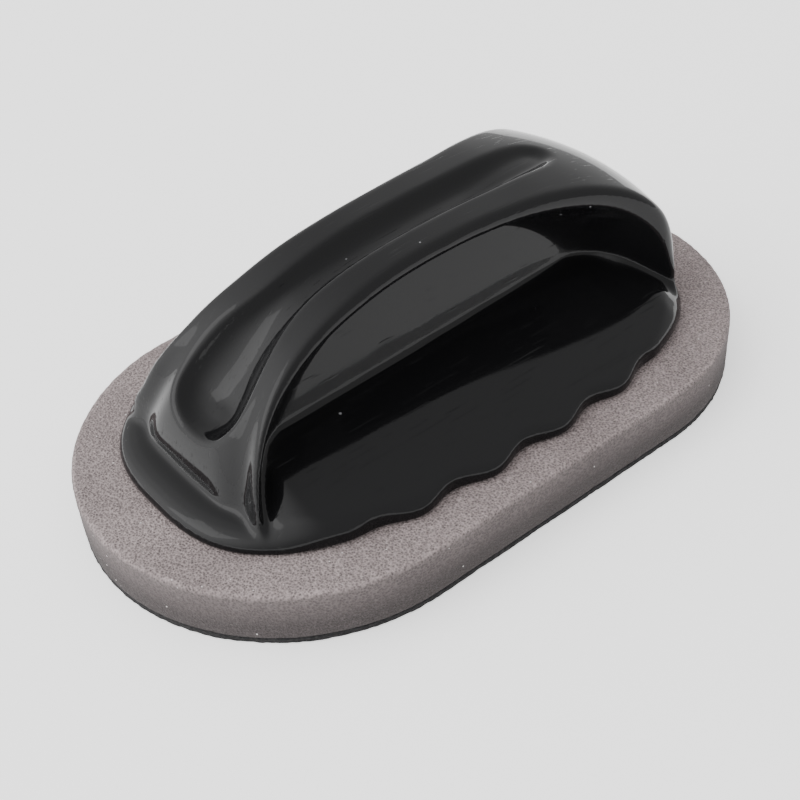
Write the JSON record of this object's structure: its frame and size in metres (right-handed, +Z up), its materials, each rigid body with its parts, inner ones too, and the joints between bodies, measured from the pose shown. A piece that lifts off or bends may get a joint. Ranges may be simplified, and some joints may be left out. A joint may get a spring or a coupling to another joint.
{
  "type": "chalkboard eraser",
  "caption": "Hand-held board eraser: a glossy arched grip with finger recesses and a thumb scoop on a flat oval foam pad with a dark wiping felt",
  "frame": {"origin": "middle of the pad's underside, on the board or the bench", "axes": "+Z up out of the pad, +X along the grip, towards its higher end, +Y across"},
  "size_m": [0.14, 0.082, 0.045],
  "materials": {
    "grip_plastic": "glossy",
    "plate_plastic": "matte",
    "adhesive": "matte",
    "foam": "matte",
    "felt": "matte"
  },
  "bodies": {
    "root": {"grip_shell": "grip_plastic", "base_plate": "plate_plastic", "adhesive_film": "adhesive", "foam_pad": "foam", "wiping_felt": "felt"}
  },
  "joints": []
}
